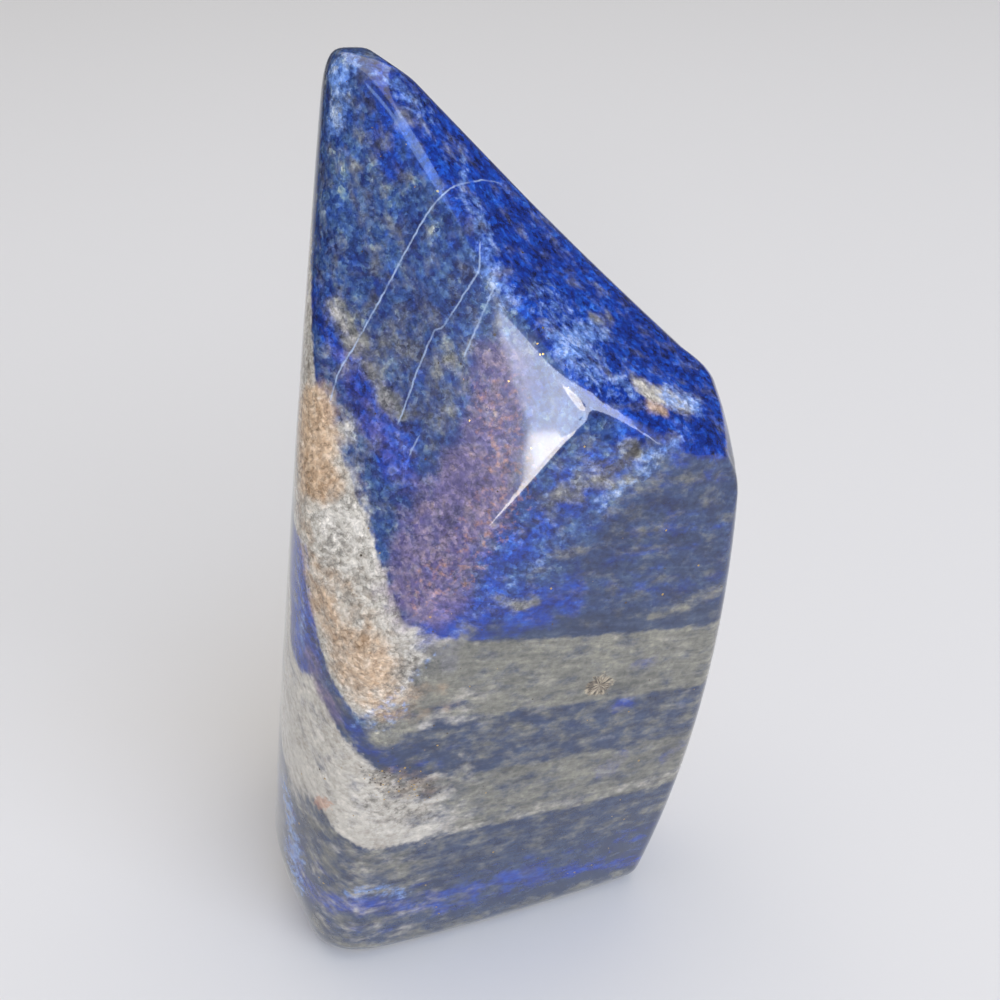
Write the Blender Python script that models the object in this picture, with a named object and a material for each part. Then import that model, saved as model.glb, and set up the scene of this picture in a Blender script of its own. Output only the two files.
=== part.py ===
"""Lapis lazuli freeform: one natural stone, ground to a few broad faces and polished.

The stone stands on its flat base with the base's middle near the origin. Lengths are in
metres and angles in degrees, +Z is up, and the banded face looks towards -Y. Every ground
face is a nearly flat cut, placed by the way it looks and by its reach from the stone's
heart. The cuts meet in rounded edges, and the stone is what all of them leave.
"""

import math
from dataclasses import dataclass

import bmesh
import bpy
import numpy as np


@dataclass(frozen=True)
class Cut:
    """One ground face, very slightly crowned, or dished where the crown is negative.

    azimuth is the way the face looks, turned from +X towards +Y, and lean tips it upwards.
    reach is its distance from the heart, fillet the radius of the edges it makes with the
    cuts listed before it, and crown the radius of its bulge.
    """

    azimuth: float
    lean: float
    reach: float
    fillet: float
    crown: float


# The point inside the stone that the reaches are measured from
HEART = (0.0032, 0.0021, 0.0600)

# Side faces, round the stone from its left side, with the soft corner beside the banded face
LEFT_SIDE = Cut(azimuth=-174, lean=8, reach=0.0330, fillet=0.0010, crown=4.0)
FRONT_CORNER = Cut(azimuth=-129, lean=7, reach=0.0360, fillet=0.0170, crown=0.40)
BANDED_FACE = Cut(azimuth=-70, lean=-2, reach=0.0235, fillet=0.0120, crown=0.45)
TOE = Cut(azimuth=-174, lean=-9, reach=0.0460, fillet=0.0120, crown=0.45)
RIGHT_SIDE = Cut(azimuth=13, lean=-3, reach=0.0305, fillet=0.0030, crown=0.30)
BACK_FACE = Cut(azimuth=71, lean=3, reach=0.0165, fillet=0.0050, crown=0.45)
BACK_CORNER = Cut(azimuth=126, lean=5, reach=0.0385, fillet=0.0140, crown=0.40)

# The two slopes that run up to the point, and the rounded shoulder at their right end
FRONT_SLOPE = Cut(azimuth=-96, lean=23, reach=0.0318, fillet=0.0060, crown=0.70)
RIGHT_SLOPE = Cut(azimuth=-30, lean=51, reach=0.0442, fillet=0.0050, crown=-0.30)
SHOULDER = Cut(azimuth=-10, lean=22, reach=0.0420, fillet=0.0120, crown=0.30)

# The bevel between the front slope and the banded face, the worn corner at its upper end,
# and the worn side of the point
EDGE_BEVEL = Cut(azimuth=-77, lean=6, reach=0.0260, fillet=0.0035, crown=0.45)
WORN_CORNER = Cut(azimuth=-60, lean=30, reach=0.0383, fillet=0.0140, crown=2.0)
WORN_POINT = Cut(azimuth=20, lean=45, reach=0.0516, fillet=0.0030, crown=0.40)

CUTS = (LEFT_SIDE, FRONT_CORNER, BANDED_FACE, TOE, RIGHT_SIDE, BACK_FACE, BACK_CORNER,
        FRONT_SLOPE, RIGHT_SLOPE, SHOULDER, EDGE_BEVEL, WORN_CORNER, WORN_POINT)

# The flat base at z = 0, whose edge is rounded all the way round
BASE_FILLET = 0.0050
BASE_FLATNESS = 0.00001

# Mesh: an icosphere spread to the stone's proportions, with each face split in turn where
# the skin turns by more than these angles from one triangle to the next
SPREAD = (0.037, 0.028, 0.070)
ICOSPHERE_STEPS = 4
TURN_LIMITS = (8.0, 14.0, 20.0)
SEARCH_LENGTH = 0.120
SEARCH_STEPS = 40
SHARPEST_FILLET = 0.000001

# Polished stone, deep blue on average over its blue and grey bands
STONE_COLOUR = (0.045, 0.085, 0.290, 1.0)
STONE_ROUGHNESS = 0.16
STONE_METALLIC = 0.0


def facing(cut):
    """Return the unit normal of a cut."""
    azimuth = math.radians(cut.azimuth)
    lean = math.radians(cut.lean)
    level = math.cos(lean)
    return np.array([math.cos(azimuth) * level, math.sin(azimuth) * level, math.sin(lean)])


def cut_field(points, cut):
    """Return each point's height over the cut's crowned face, and that height's gradient."""
    normal = facing(cut)
    from_heart = points - np.array(HEART)
    along = from_heart @ normal
    across = from_heart - along[:, None] * normal
    height = along - cut.reach + (across ** 2).sum(axis=1) / (2 * cut.crown)
    return height, normal + across / cut.crown


def meet(first, second, fillet):
    """Join two faces' fields in an edge that is rounded to the fillet radius."""
    height_a, gradient_a = first
    height_b, gradient_b = second
    lengths = np.linalg.norm(gradient_a, axis=1) * np.linalg.norm(gradient_b, axis=1)
    cosine = (gradient_a * gradient_b).sum(axis=1) / lengths
    width = np.maximum(fillet * (1 - cosine), SHARPEST_FILLET)
    share = np.clip(0.5 + 0.5 * (height_a - height_b) / width, 0, 1)
    height = share * height_a + (1 - share) * height_b + width * share * (1 - share)
    gradient = share[:, None] * gradient_a + (1 - share)[:, None] * gradient_b
    return height, gradient


def stone_field(points):
    """Return each point's height over the stone's skin, which is negative inside."""
    field = cut_field(points, CUTS[0])
    for cut in CUTS[1:]:
        field = meet(field, cut_field(points, cut), cut.fillet)
    base = (-points[:, 2], np.tile((0.0, 0.0, -1.0), (len(points), 1)))
    return meet(field, base, BASE_FILLET)[0]


def skin_points(points):
    """Move points along their rays from the heart onto the stone's skin."""
    heart = np.array(HEART)
    rays = points - heart
    rays /= np.linalg.norm(rays, axis=1)[:, None]
    near = np.zeros(len(rays))
    far = np.full(len(rays), SEARCH_LENGTH)
    for _ in range(SEARCH_STEPS):
        middle = (near + far) / 2
        inside = stone_field(heart + rays * middle[:, None]) < 0
        near = np.where(inside, middle, near)
        far = np.where(inside, far, middle)
    found = heart + rays * near[:, None]
    found[np.abs(found[:, 2]) < BASE_FLATNESS, 2] = 0.0
    return found


def settle(mesh):
    """Put every vertex of the bmesh on the stone's skin."""
    placed = skin_points(np.array([vertex.co for vertex in mesh.verts], dtype=float))
    for vertex, place in zip(mesh.verts, placed):
        vertex.co = place
    mesh.normal_update()


def refine(mesh, limit):
    """Split the triangles where the skin turns by more than the limit, in degrees."""
    creases = [edge for edge in mesh.edges if math.degrees(edge.calc_face_angle()) > limit]
    turning = {face for edge in creases for face in edge.link_faces}
    edges = [edge for edge in mesh.edges if turning.intersection(edge.link_faces)]
    bmesh.ops.subdivide_edges(mesh, edges=edges, cuts=1, use_grid_fill=True)
    bmesh.ops.triangulate(mesh, faces=mesh.faces)
    settle(mesh)


def stone_mesh():
    """Make the stone's mesh: a spread icosphere on the skin, finer where the skin turns."""
    mesh = bmesh.new()
    bmesh.ops.create_icosphere(mesh, subdivisions=ICOSPHERE_STEPS, radius=1.0)
    bmesh.ops.scale(mesh, vec=SPREAD, verts=mesh.verts)
    bmesh.ops.translate(mesh, vec=HEART, verts=mesh.verts)
    settle(mesh)
    for limit in TURN_LIMITS:
        refine(mesh, limit)
    return mesh


def stone_material():
    """Make the plain polished stone material."""
    material = bpy.data.materials.new("polished_lapis")
    material.use_nodes = True
    shader = material.node_tree.nodes["Principled BSDF"]
    shader.inputs["Base Color"].default_value = STONE_COLOUR
    shader.inputs["Roughness"].default_value = STONE_ROUGHNESS
    shader.inputs["Metallic"].default_value = STONE_METALLIC
    return material


def main():
    """Clear the scene and build the stone."""
    for old in list(bpy.data.objects):
        bpy.data.objects.remove(old, do_unlink=True)
    data = bpy.data.meshes.new("stone")
    mesh = stone_mesh()
    mesh.to_mesh(data)
    mesh.free()
    data.materials.append(stone_material())
    data.shade_smooth()
    stone = bpy.data.objects.new("stone", data)
    bpy.context.collection.objects.link(stone)


if __name__ == "__main__":
    main()
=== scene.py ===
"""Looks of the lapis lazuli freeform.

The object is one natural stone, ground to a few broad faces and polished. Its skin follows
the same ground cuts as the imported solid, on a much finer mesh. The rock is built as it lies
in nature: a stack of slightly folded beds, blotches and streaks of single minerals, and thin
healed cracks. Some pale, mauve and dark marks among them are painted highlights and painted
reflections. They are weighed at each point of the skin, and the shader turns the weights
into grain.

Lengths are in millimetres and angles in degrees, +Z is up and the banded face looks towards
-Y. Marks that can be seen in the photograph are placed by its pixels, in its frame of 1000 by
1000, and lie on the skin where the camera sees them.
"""

import logging
import math
from collections.abc import Iterable
from dataclasses import dataclass, field
from enum import Enum
from typing import ClassVar

import bmesh
import bpy
import numpy as np
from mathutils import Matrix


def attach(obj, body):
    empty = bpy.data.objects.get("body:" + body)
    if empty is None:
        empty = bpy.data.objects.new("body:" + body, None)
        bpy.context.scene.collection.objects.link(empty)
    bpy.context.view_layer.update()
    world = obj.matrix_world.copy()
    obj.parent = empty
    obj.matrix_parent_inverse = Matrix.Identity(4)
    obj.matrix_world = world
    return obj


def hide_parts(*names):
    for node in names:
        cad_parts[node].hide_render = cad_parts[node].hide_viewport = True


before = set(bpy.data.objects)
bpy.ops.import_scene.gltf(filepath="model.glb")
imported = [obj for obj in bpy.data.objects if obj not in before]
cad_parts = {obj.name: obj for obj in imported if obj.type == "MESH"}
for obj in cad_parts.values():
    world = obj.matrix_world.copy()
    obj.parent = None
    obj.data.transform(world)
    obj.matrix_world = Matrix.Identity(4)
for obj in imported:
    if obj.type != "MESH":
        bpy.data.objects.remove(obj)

LOG = logging.getLogger("lapis")
MM = 0.001
TINY = 1e-9
NOISE_MIDDLE = 0.5
NOISE_ROUGHNESS = 0.6
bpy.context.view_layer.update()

Pixel = tuple[float, float]
Shares = tuple[float, float]
Place = tuple[float, float, float]
Tree = bpy.types.NodeTree
Socket = bpy.types.NodeSocket
Sockets = dict[tuple[str, int], Socket]


def linear(colour: str) -> tuple[float, float, float, float]:
    """Turn an sRGB hex colour into linear light.

    Args:
        colour: The colour as "#rrggbb".

    Returns:
        Linear red, green, blue and an alpha of one.
    """
    channels = [int(colour[start:start + 2], 16) / 255 for start in (1, 3, 5)]
    light = [c / 12.92 if c <= 0.04045 else ((c + 0.055) / 1.055) ** 2.4 for c in channels]
    return (light[0], light[1], light[2], 1.0)


def direction(azimuth: float, lean: float) -> np.ndarray:
    """Work out a direction.

    Args:
        azimuth: Its angle round the stone, turned from +X towards +Y, in degrees.
        lean: Its angle over the level, in degrees.

    Returns:
        The unit vector.
    """
    turn = math.radians(azimuth)
    lift = math.radians(lean)
    level = math.cos(lift)
    return np.array([math.cos(turn) * level, math.sin(turn) * level, math.sin(lift)])


def add_object(name: str, data: bpy.types.ID) -> bpy.types.Object:
    """Add an object to the scene.

    Args:
        name: Its name.
        data: Its mesh, light or camera.

    Returns:
        The new object.
    """
    added = bpy.data.objects.new(name, data)
    bpy.context.scene.collection.objects.link(added)
    return added


def add_node(tree: Tree, kind: str, inputs: dict | None = None, ramp: tuple = (),
             **settings: object) -> bpy.types.Node:
    """Add a node to a tree, with its settings, values and links.

    Args:
        tree: The node tree that gets the node.
        kind: Blender's name for the kind of node.
        inputs: For each input, by number, name or identifier, a value, the output that feeds
            it, or the node whose first output does.
        ramp: Stops of a colour ramp, each a position and a hex colour.
        settings: Properties of the node itself.

    Returns:
        The new node.
    """
    node = tree.nodes.new(kind)
    for name, value in settings.items():
        setattr(node, name, value)
    for number, (position, colour) in enumerate(ramp):
        stops = node.color_ramp.elements
        stop = stops[number] if number < 2 else stops.new(position)
        stop.position = position
        stop.color = linear(colour)
    for key, value in (inputs or {}).items():
        named = [s for s in node.inputs if key in (s.identifier, s.name)]
        socket = node.inputs[key] if isinstance(key, int) else named[0]
        if isinstance(value, bpy.types.Node):
            value = value.outputs[0]
        if isinstance(value, Socket):
            tree.links.new(value, socket)
        else:
            socket.default_value = value
    return node


@dataclass(frozen=True)
class Cut:
    """One ground face, very slightly crowned, or dished where the crown is negative.

    azimuth is the way the face looks, turned from +X towards +Y, and lean tips it upwards.
    reach is its distance from the heart, fillet the radius of the edges it makes with the
    cuts listed before it, and crown the radius of its bulge.
    """

    azimuth: float
    lean: float
    reach: float
    fillet: float
    crown: float

    def facing(self) -> np.ndarray:
        """Return the unit normal of the face."""
        return direction(self.azimuth, self.lean)

    def field(self, from_heart: np.ndarray) -> tuple[np.ndarray, np.ndarray]:
        """Measure points against the face.

        Args:
            from_heart: Points, from the heart of the stone.

        Returns:
            Each point's height over the crowned face, and that height's gradient.
        """
        normal = self.facing()
        along = from_heart @ normal
        across = from_heart - along[:, None] * normal
        height = along - self.reach + (across ** 2).sum(axis=1) / (2 * self.crown)
        return height, normal + across / self.crown


# Side faces, round the stone from its left side
LEFT_SIDE = Cut(azimuth=-174, lean=8, reach=33.0, fillet=1.0, crown=4000)
FRONT_CORNER = Cut(azimuth=-129, lean=7, reach=36.0, fillet=17.0, crown=400)
BANDED_FACE = Cut(azimuth=-70, lean=-2, reach=23.5, fillet=12.0, crown=450)
TOE = Cut(azimuth=-174, lean=-9, reach=46.0, fillet=12.0, crown=450)
RIGHT_SIDE = Cut(azimuth=13, lean=-3, reach=30.5, fillet=3.0, crown=300)
BACK_FACE = Cut(azimuth=71, lean=3, reach=16.5, fillet=5.0, crown=450)
BACK_CORNER = Cut(azimuth=126, lean=5, reach=38.5, fillet=14.0, crown=400)

# The two slopes that run up to the point, and the rounded shoulder at their right end
FRONT_SLOPE = Cut(azimuth=-96, lean=23, reach=31.8, fillet=6.0, crown=700)
RIGHT_SLOPE = Cut(azimuth=-30, lean=51, reach=44.2, fillet=5.0, crown=-300)
SHOULDER = Cut(azimuth=-10, lean=22, reach=42.0, fillet=12.0, crown=300)

# The bevel between the front slope and the banded face, the worn corner at its upper end,
# and the worn side of the point
EDGE_BEVEL = Cut(azimuth=-77, lean=6, reach=26.0, fillet=3.5, crown=450)
WORN_CORNER = Cut(azimuth=-60, lean=30, reach=38.3, fillet=14.0, crown=2000)
WORN_POINT = Cut(azimuth=20, lean=45, reach=51.6, fillet=3.0, crown=400)


@dataclass(frozen=True)
class StoneBlank:
    """The ground shape of the stone: what all its cuts leave, with rounded edges."""

    heart: Place = (3.2, 2.1, 60.0)
    cuts: tuple[Cut, ...] = (LEFT_SIDE, FRONT_CORNER, BANDED_FACE, TOE, RIGHT_SIDE, BACK_FACE,
                             BACK_CORNER, FRONT_SLOPE, RIGHT_SLOPE, SHOULDER, EDGE_BEVEL,
                             WORN_CORNER, WORN_POINT)
    base_fillet: float = 5.0
    sharpest_fillet: ClassVar[float] = 0.001
    spread: Place = (37.0, 28.0, 70.0)
    search_length: float = 120.0
    search_steps: int = 26
    flatness: float = 0.01
    sight_near: float = 90.0
    sight_far: float = 290.0
    sight_steps: int = 200

    @classmethod
    def meet(cls, first: tuple, second: tuple, fillet: float) -> tuple[np.ndarray, np.ndarray]:
        """Join two fields in an edge that is rounded to the fillet radius.

        Args:
            first: Heights and gradients of the faces so far.
            second: Heights and gradients of the next face.
            fillet: Radius of the edge.

        Returns:
            Heights and gradients of the two together.
        """
        height_a, gradient_a = first
        height_b, gradient_b = second
        lengths = np.linalg.norm(gradient_a, axis=1) * np.linalg.norm(gradient_b, axis=1)
        cosine = (gradient_a * gradient_b).sum(axis=1) / lengths
        width = np.maximum(fillet * (1 - cosine), cls.sharpest_fillet)
        share = np.clip(0.5 + 0.5 * (height_a - height_b) / width, 0, 1)
        height = share * height_a + (1 - share) * height_b + width * share * (1 - share)
        return height, share[:, None] * gradient_a + (1 - share)[:, None] * gradient_b

    def field(self, points: np.ndarray) -> tuple[np.ndarray, np.ndarray]:
        """Measure points against the whole skin.

        Args:
            points: Points in the stone's frame.

        Returns:
            Each point's height over the skin, negative inside, and its gradient.
        """
        from_heart = points - np.array(self.heart)
        whole = self.cuts[0].field(from_heart)
        for cut in self.cuts[1:]:
            whole = self.meet(whole, cut.field(from_heart), cut.fillet)
        base = (-points[:, 2], np.tile((0.0, 0.0, -1.0), (len(points), 1)))
        return self.meet(whole, base, self.base_fillet)

    def close_in(self, start: np.ndarray, rays: np.ndarray, inner: np.ndarray,
                 outer: np.ndarray) -> np.ndarray:
        """Find where rays cross the skin, by halving.

        Args:
            start: Where each ray starts.
            rays: Unit directions of the rays.
            inner: A length along each ray that ends inside the stone.
            outer: A length along each ray that ends outside it.

        Returns:
            The crossing points.
        """
        for _ in range(self.search_steps):
            middle = (inner + outer) / 2
            inside = self.field(start + rays * middle[:, None])[0] < 0
            inner = np.where(inside, middle, inner)
            outer = np.where(inside, outer, middle)
        return start + rays * inner[:, None]

    def skin(self, shell: np.ndarray) -> np.ndarray:
        """Put points on the skin, along their rays from the heart.

        Args:
            shell: Points round the heart, measured from it.

        Returns:
            The points on the skin, with the base exactly flat.
        """
        rays = shell / np.linalg.norm(shell, axis=1)[:, None]
        far = np.full(len(rays), self.search_length)
        found = self.close_in(np.array(self.heart), rays, np.zeros(len(rays)), far)
        found[np.abs(found[:, 2]) < self.flatness, 2] = 0.0
        return found

    def strike(self, eye: np.ndarray, rays: np.ndarray) -> np.ndarray:
        """Find where sight lines first meet the stone.

        Args:
            eye: Where the sight lines start.
            rays: Their unit directions.

        Returns:
            The points met, or the nearest points of lines that just miss.
        """
        lengths = np.linspace(self.sight_near, self.sight_far, self.sight_steps)
        tries = eye + rays[:, None, :] * lengths[None, :, None]
        heights = self.field(tries.reshape(-1, 3))[0].reshape(len(rays), -1)
        inside = heights < 0
        first = np.where(inside.any(axis=1), inside.argmax(axis=1), heights.argmin(axis=1))
        return self.close_in(eye, rays, lengths[first], lengths[np.maximum(first - 1, 0)])


@dataclass(frozen=True)
class Viewpoint:
    """The photograph's viewing position, and how its pixels look at the stone."""

    place: Place = (3.2, -150.9, 174.0)
    pitch: float = 33.0
    field_of_view: float = 45.0
    frame_side: float = 1000.0
    sensor: float = 36.0

    def sight_lines(self, pixels: np.ndarray) -> np.ndarray:
        """Return the unit directions in which the pixels look.

        Args:
            pixels: Columns and rows in the photograph's frame.

        Returns:
            One direction for each pixel.
        """
        pitch = math.radians(self.pitch)
        ahead = np.array([0, math.cos(pitch), -math.sin(pitch)])
        down = np.array([0, -math.sin(pitch), -math.cos(pitch)])
        right = np.array([1.0, 0.0, 0.0])
        reach = self.frame_side / 2 / math.tan(math.radians(self.field_of_view / 2))
        offsets = (np.asarray(pixels, dtype=float) - self.frame_side / 2) / reach
        rays = ahead + offsets[:, :1] * right + offsets[:, 1:] * down
        return rays / np.linalg.norm(rays, axis=1)[:, None]

    def trace(self, path: tuple[Pixel, ...], blank: StoneBlank, step: float) -> np.ndarray:
        """Lay a path of pixels on the stone's skin.

        Args:
            path: The pixels that the path runs through.
            blank: The stone's shape.
            step: Longest stretch between two points of the result, in pixels.

        Returns:
            Points on the skin, along a smooth curve through the path.
        """
        knots = np.array(path, dtype=float)
        if len(knots) > 1:
            ends = (2 * knots[0] - knots[1], 2 * knots[-1] - knots[-2])
            padded = np.vstack([ends[0], knots, ends[1]])
            pieces = []
            # A Catmull-Rom curve, which runs through every knot
            for a, b, c, d in zip(padded, padded[1:], padded[2:], padded[3:]):
                count = max(2, math.ceil(np.linalg.norm(c - b) / step) + 1)
                t = np.linspace(0, 1, count)[:-1, None]
                pieces.append(0.5 * (2 * b + (c - a) * t + (2 * a - 5 * b + 4 * c - d) * t ** 2
                                     + (3 * b - a - 3 * c + d) * t ** 3))
            knots = np.vstack(pieces + [knots[-1:]])
        return blank.strike(np.array(self.place), self.sight_lines(knots))


class Mineral(Enum):
    """What the rock is made of, with painted highlights and reflections among the pale, mauve and
    dark marks. Each value names its weight map and the channel in it.
    """

    VIVID = ("rock", 0)
    OLIVE = ("rock", 1)
    CALCITE = ("rock", 2)
    OCHRE = ("stain", 0)
    MAUVE = ("stain", 1)
    PALE = ("flecks", 0)
    DARK = ("ore", 0)
    PYRITE = ("ore", 1)
    RUST = ("ore", 2)
    BANDED = ("fabric", 0)


@dataclass(frozen=True)
class Bedding:
    """The folded stack of beds, as levels in millimetres across it."""

    middle: Place = (0.0, 0.0, 60.0)
    rise: Place = (0.34, -0.85, 0.49)
    fold_xx: float = 0.0019
    fold_xz: float = 0.0017
    fold_yy: float = -0.0024
    fold_zz: float = 0.0011

    def coordinates(self, points: np.ndarray) -> np.ndarray:
        """Measure points in the beds.

        Args:
            points: Points in the stone's frame.

        Returns:
            For each point, its place along the strike, down the dip and up through the beds.
        """
        offset = points - np.array(self.middle)
        x, y, z = offset.T
        normal = np.array(self.rise)
        strike = np.cross(normal, (0.0, 0.0, 1.0))
        strike /= np.linalg.norm(strike)
        dip = np.cross(normal, strike)
        dip /= np.linalg.norm(dip)
        folds = self.fold_xx * x * x + self.fold_xz * x * z
        folds += self.fold_yy * y * y + self.fold_zz * z * z
        return np.stack([offset @ strike, offset @ dip, offset @ normal + folds], axis=1)


@dataclass(frozen=True)
class Bed:
    """One bed: a mineral between two levels, with its strength at the stone's two ends."""

    mineral: Mineral
    low: float
    high: float
    west: float
    east: float
    edge: float = 0.5


BEDS = (
    Bed(Mineral.OLIVE, 24.0, 31.0, 0.16, 0.09, 2.0),
    Bed(Mineral.OLIVE, 31.0, 60.0, 0.20, 0.10, 2.0),
    Bed(Mineral.VIVID, 26.0, 60.0, 0.10, 0.14, 3.0),
    Bed(Mineral.OLIVE, 16.4, 23.4, 0.00, 0.86),
    Bed(Mineral.CALCITE, 15.6, 23.6, 1.00, 0.06),
    Bed(Mineral.OCHRE, 16.5, 20.0, 0.38, 0.00, 1.2),
    Bed(Mineral.VIVID, 12.9, 15.7, 0.08, 0.06),
    Bed(Mineral.OLIVE, 10.2, 16.4, 0.15, 0.30),
    Bed(Mineral.CALCITE, 3.6, 12.7, 0.92, 0.05),
    Bed(Mineral.OLIVE, 3.6, 10.2, 0.10, 0.80),
    Bed(Mineral.CALCITE, 3.5, 5.2, 0.20, 0.20),
    Bed(Mineral.OLIVE, -2.0, 3.4, 0.42, 0.22),
    Bed(Mineral.OLIVE, -8.6, -2.0, 0.30, 0.06, 1.0),
    Bed(Mineral.CALCITE, -8.6, 3.4, 0.12, 0.00, 1.0),
    Bed(Mineral.VIVID, -7.5, -2.0, 0.22, 0.22, 1.0),
    Bed(Mineral.OLIVE, -13.0, -8.6, 0.55, 0.45, 0.8),
    Bed(Mineral.VIVID, -22.0, -14.5, 0.60, 0.45, 1.0),
    Bed(Mineral.OLIVE, -26.5, -22.5, 0.70, 0.75),
    Bed(Mineral.CALCITE, -28.0, -26.5, 0.75, 0.45),
    Bed(Mineral.VIVID, -38.0, -30.0, 0.70, 0.55, 1.5),
    Bed(Mineral.OLIVE, -45.0, -39.0, 0.60, 0.60),
    Bed(Mineral.VIVID, -58.0, -46.0, 0.45, 0.45, 2.0),
    Bed(Mineral.BANDED, -60.0, 3.4, 0.55, 1.00, 3.0),
    Bed(Mineral.BANDED, 3.4, 25.0, 0.10, 1.00, 2.0),
)


@dataclass(frozen=True)
class Mark:
    """A blotch or streak of one mineral, or a painted highlight or reflection, on the side that
    the photograph shows.

    path is in the photograph's pixels, and radius is the mark's half width in millimetres. A
    strength below zero clears the mineral away.
    """

    name: str
    path: tuple[Pixel, ...]
    radius: float
    strength: float
    fade: float = 0.6


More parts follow.
